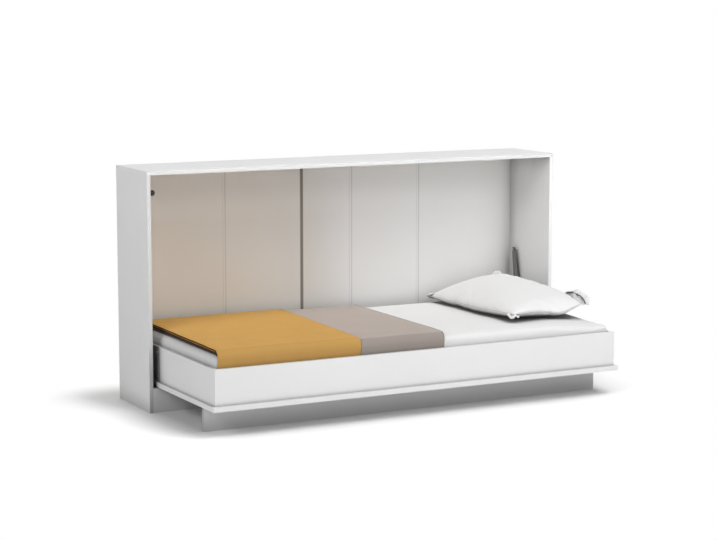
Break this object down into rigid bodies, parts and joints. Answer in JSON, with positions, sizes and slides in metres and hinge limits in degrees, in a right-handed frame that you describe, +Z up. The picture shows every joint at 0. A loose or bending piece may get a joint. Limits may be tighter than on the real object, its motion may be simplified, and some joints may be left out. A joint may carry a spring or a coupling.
{
  "type": "wall bed",
  "caption": "Low cabinet with a sideways folding bed that closes up flush on gas struts and stands on a hinged foot board, made up with a mattress, throws and a pillow.",
  "frame": {"origin": "on the floor, under the middle of the open bed and its cabinet together", "axes": "+X runs along the bed from its left end to the pillow at its right end, +Y runs from the room to the wall behind the cabinet, +Z is up"},
  "size_m": [2.14, 1.006, 1.09],
  "materials": {
    "white_board": "chipboard with a smooth white laminate, satin",
    "back_board": "thin fibreboard, off-white, matt",
    "light_strip": "off-white, satin",
    "dark_strip": "dark brown, satin",
    "beech": "planed, uncoated",
    "zinc_steel": "zinc plated",
    "black_steel": "black powder coat, satin",
    "chromed_rod": "hard chrome, polished",
    "nylon": "natural nylon",
    "black_rubber": "matt",
    "mattress_cover": "white cotton sheet over a light grey knitted cover",
    "ochre_throw": "ochre woven cotton, matt",
    "taupe_throw": "taupe woven wool, matt",
    "white_cotton": "white cotton, matt"
  },
  "bodies": {
    "cabinet": {"side_panel_left": "white_board", "side_panel_right": "white_board", "top_panel": "white_board", "plinth": "white_board", "back_panel_1": "back_board", "back_panel_2": "back_board", "back_panel_3": "back_board", "back_panel_4": "back_board", "back_panel_5": "back_board", "joint_strips": "light_strip", "centre_joint_strip": "dark_strip", "wall_rail": "white_board", "carcase_dowels": "beech", "pivot_bracket_left": "zinc_steel", "pivot_bracket_right": "zinc_steel", "pivot_bush_left": "nylon", "pivot_bush_right": "nylon", "strut_anchor_left": "zinc_steel", "strut_anchor_right": "zinc_steel", "catch_bracket": "black_steel", "catch_buffer": "black_rubber", "cabinet_screws": "zinc_steel"},
    "bed": {"base_panel": "white_board", "front_rail": "white_board", "rear_rail": "white_board", "end_rail_left": "white_board", "end_rail_right": "white_board", "batten_front": "beech", "batten_rear": "beech", "slat_1": "beech", "slat_2": "beech", "slat_3": "beech", "slat_4": "beech", "slat_5": "beech", "slat_6": "beech", "slat_7": "beech", "slat_8": "beech", "slat_9": "beech", "slat_10": "beech", "slat_11": "beech", "slat_12": "beech", "hinge_plate_left": "black_steel", "hinge_plate_right": "black_steel", "pivot_pin_left": "zinc_steel", "pivot_pin_right": "zinc_steel", "bed_dowels": "beech", "bed_screws": "zinc_steel", "mattress": "mattress_cover", "throw_ochre": "ochre_throw", "throw_taupe": "taupe_throw", "pillow": "white_cotton", "foot_hinge_upper_leaves": "zinc_steel"},
    "foot": {"foot_board": "white_board", "foot_hinge_lower_leaves": "zinc_steel", "foot_hinge_pins": "zinc_steel", "foot_screws": "zinc_steel"},
    "strut_cylinder_left": {"strut_cylinder_left": "black_steel"},
    "strut_cylinder_right": {"strut_cylinder_right": "black_steel"},
    "strut_rod_left": {"strut_rod_left": "chromed_rod"},
    "strut_rod_right": {"strut_rod_right": "chromed_rod"}
  },
  "joints": [
    {"name": "bed_fold", "type": "hinge", "parent": "cabinet", "child": "bed", "pos_m": [0, 0.2885, 0.2775], "axis": [-1, 0, 0], "range_deg": [0, 90]},
    {"name": "foot_fold", "type": "hinge", "parent": "bed", "child": "foot", "pos_m": [0, -0.3147, 0.1127], "axis": [1, 0, 0], "range_deg": [0, 90]},
    {"name": "strut_swing_left", "type": "hinge", "parent": "cabinet", "child": "strut_cylinder_left", "pos_m": [-1.036, 0.4245, 0.5845], "axis": [-1, 0, 0], "range_deg": [0, 3.9]},
    {"name": "strut_extend_left", "type": "slide", "parent": "strut_cylinder_left", "child": "strut_rod_left", "axis": [0, -0.1982, -0.9802], "range_m": [0, 0.119]},
    {"name": "strut_swing_right", "type": "hinge", "parent": "cabinet", "child": "strut_cylinder_right", "pos_m": [1.036, 0.4245, 0.5845], "axis": [-1, 0, 0], "range_deg": [0, 3.9]},
    {"name": "strut_extend_right", "type": "slide", "parent": "strut_cylinder_right", "child": "strut_rod_right", "axis": [0, -0.1982, -0.9802], "range_m": [0, 0.119]}
  ],
  "couplings": [
    {"joint": "strut_swing_left", "follows": "bed_fold", "ratio": 0.043206},
    {"joint": "strut_extend_left", "follows": "bed_fold", "m_per_rad": 0.075535},
    {"joint": "strut_swing_right", "follows": "bed_fold", "ratio": 0.043206},
    {"joint": "strut_extend_right", "follows": "bed_fold", "m_per_rad": 0.075535}
  ]
}
